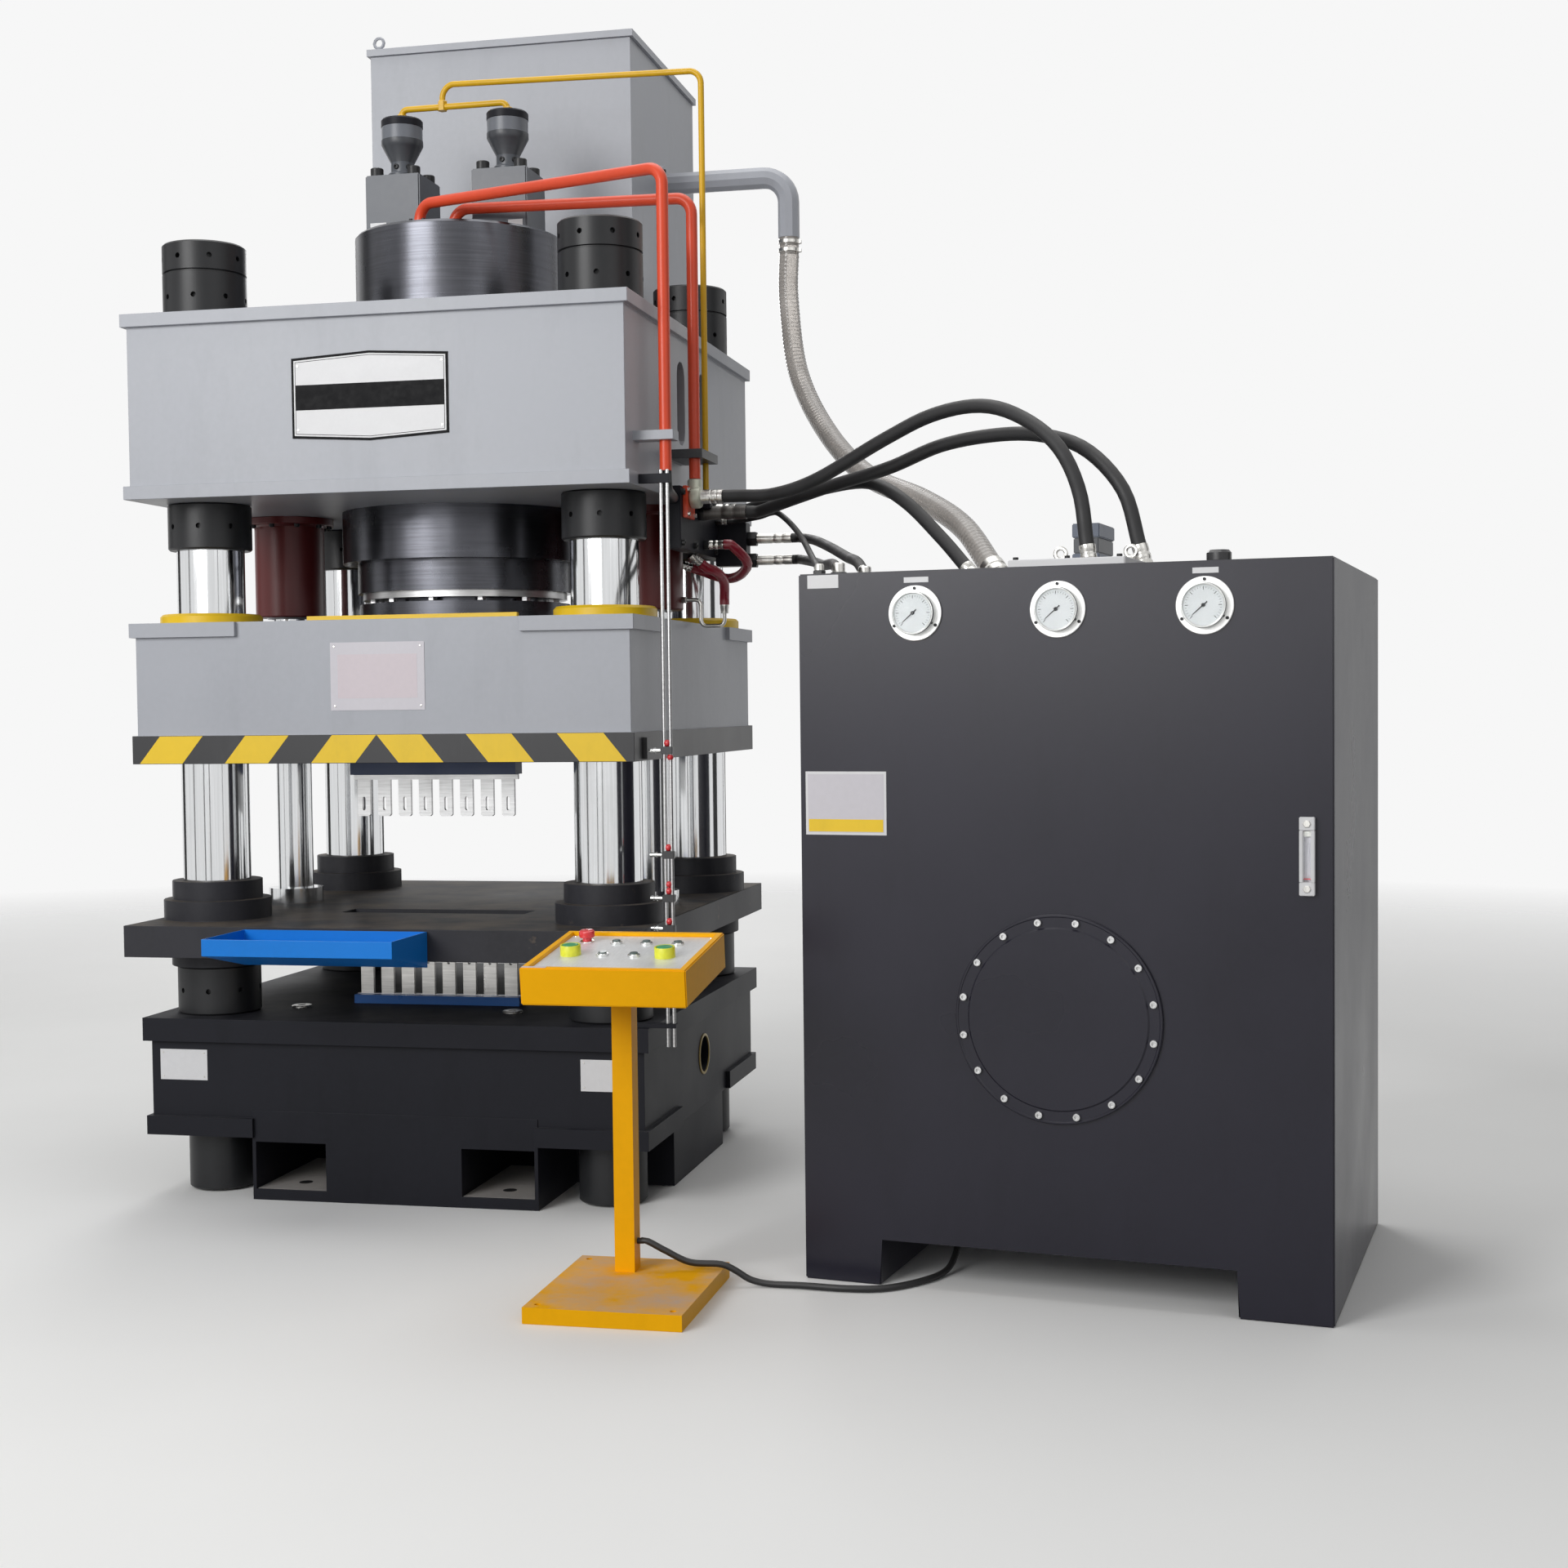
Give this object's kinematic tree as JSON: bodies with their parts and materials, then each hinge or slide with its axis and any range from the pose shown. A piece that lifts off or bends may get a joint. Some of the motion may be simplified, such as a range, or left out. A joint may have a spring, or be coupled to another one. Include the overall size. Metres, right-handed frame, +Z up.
{
  "type": "hydraulic press",
  "caption": "Four-column hydraulic press with a floating plate, comb tooling, rear oil tank, separate power unit, hoses and an operator pedestal.",
  "frame": {"origin": "on the floor under the middle of the press base", "axes": "+Z up, +X to the right along the press front, the front faces -Y"},
  "size_m": [3.4835, 2.8812, 3.644],
  "materials": {
    "frame_paint": "satin grey paint",
    "dark_paint": "satin dark grey paint",
    "maroon_paint": "satin maroon paint",
    "yellow_paint": "satin yellow paint",
    "orange_paint": "satin orange paint",
    "red_paint": "satin red paint",
    "blue_paint": "satin blue paint",
    "column_chrome": "hard chrome plating, ground",
    "bright_steel": "machined steel",
    "cylinder_steel": "black painted steel",
    "hose_rubber": "matt black",
    "clear_hose": "clear ribbed hose",
    "red_hose": "dark red sleeve",
    "gauge_face": "white dial behind a window",
    "black_plastic": "black",
    "red_plastic": "red",
    "green_plastic": "green"
  },
  "bodies": {
    "frame": {"base": "dark_paint", "crown": "frame_paint", "main_cylinder": "cylinder_steel", "gland_ring": "bright_steel", "side_cylinder_left": "maroon_paint", "side_cylinder_right": "maroon_paint", "oil_tank": "frame_paint", "tank_lid": "frame_paint", "prefill_valve_left": "dark_paint", "prefill_valve_right": "dark_paint", "pressure_pipe_front": "red_paint", "pressure_pipe_rear": "red_paint", "pilot_pipe": "yellow_paint", "suction_pipe": "frame_paint", "side_manifold": "dark_paint", "sensor_post": "bright_steel", "power_unit_tank": "frame_paint", "manhole_cover": "frame_paint", "pressure_gauge_left": "gauge_face", "pressure_gauge_middle": "gauge_face", "pressure_gauge_right": "gauge_face", "level_gauge": "black_plastic", "valve_block": "bright_steel", "hose_upper": "hose_rubber", "hose_middle": "hose_rubber", "hose_lower": "hose_rubber", "port_hose_upper": "hose_rubber", "port_hose_lower": "hose_rubber", "thin_hose": "hose_rubber", "suction_hose": "clear_hose", "lift_hose_lower": "red_hose", "lift_hose_upper": "red_hose", "control_cable": "hose_rubber", "pedestal_stand": "orange_paint", "console": "orange_paint", "column_front_left": "column_chrome", "column_front_right": "column_chrome", "column_rear_left": "column_chrome", "column_rear_right": "column_chrome"},
    "slide_unit": {"slide": "frame_paint", "main_ram": "bright_steel", "upper_comb": "bright_steel", "guide_cover_front_left": "yellow_paint", "guide_cover_front_right": "yellow_paint", "guide_cover_rear_left": "yellow_paint", "guide_cover_rear_right": "yellow_paint"},
    "floating_plate": {"middle_plate": "dark_paint", "side_rod_left": "column_chrome", "side_rod_right": "column_chrome", "front_tray": "blue_paint"},
    "ejector": {"lower_comb": "bright_steel"},
    "emergency_stop": {"emergency_stop": "red_plastic"},
    "palm_button_left": {"palm_button_left": "green_plastic"},
    "palm_button_right": {"palm_button_right": "green_plastic"},
    "push_button_1": {"push_button_1": "black_plastic"},
    "push_button_2": {"push_button_2": "black_plastic"},
    "push_button_3": {"push_button_3": "black_plastic"},
    "push_button_4": {"push_button_4": "black_plastic"},
    "push_button_5": {"push_button_5": "black_plastic"}
  },
  "joints": [
    {"name": "slide_stroke", "type": "slide", "parent": "frame", "child": "slide_unit", "axis": [0, 0, 1], "range_m": [-0.26, 0]},
    {"name": "plate_lift", "type": "slide", "parent": "frame", "child": "floating_plate", "axis": [0, 0, 1], "range_m": [0, 0.06]},
    {"name": "ejector_lift", "type": "slide", "parent": "frame", "child": "ejector", "axis": [0, 0, 1], "range_m": [0, 0.1]},
    {"name": "emergency_stop_press", "type": "slide", "parent": "frame", "child": "emergency_stop", "axis": [0, -0.1197, 0.9928], "range_m": [-0.005, 0], "stiffness_N_per_m": 600, "springref_m": 0.0005},
    {"name": "palm_button_left_press", "type": "slide", "parent": "frame", "child": "palm_button_left", "axis": [0, -0.1197, 0.9928], "range_m": [-0.006, 0], "stiffness_N_per_m": 600, "springref_m": 0.0005},
    {"name": "palm_button_right_press", "type": "slide", "parent": "frame", "child": "palm_button_right", "axis": [0, -0.1197, 0.9928], "range_m": [-0.006, 0], "stiffness_N_per_m": 600, "springref_m": 0.0005},
    {"name": "push_button_1_press", "type": "slide", "parent": "frame", "child": "push_button_1", "axis": [0, -0.1197, 0.9928], "range_m": [-0.004, 0], "stiffness_N_per_m": 600, "springref_m": 0.0005},
    {"name": "push_button_2_press", "type": "slide", "parent": "frame", "child": "push_button_2", "axis": [0, -0.1197, 0.9928], "range_m": [-0.004, 0], "stiffness_N_per_m": 600, "springref_m": 0.0005},
    {"name": "push_button_3_press", "type": "slide", "parent": "frame", "child": "push_button_3", "axis": [0, -0.1197, 0.9928], "range_m": [-0.004, 0], "stiffness_N_per_m": 600, "springref_m": 0.0005},
    {"name": "push_button_4_press", "type": "slide", "parent": "frame", "child": "push_button_4", "axis": [0, -0.1197, 0.9928], "range_m": [-0.004, 0], "stiffness_N_per_m": 600, "springref_m": 0.0005},
    {"name": "push_button_5_press", "type": "slide", "parent": "frame", "child": "push_button_5", "axis": [0, -0.1197, 0.9928], "range_m": [-0.004, 0], "stiffness_N_per_m": 600, "springref_m": 0.0005}
  ]
}
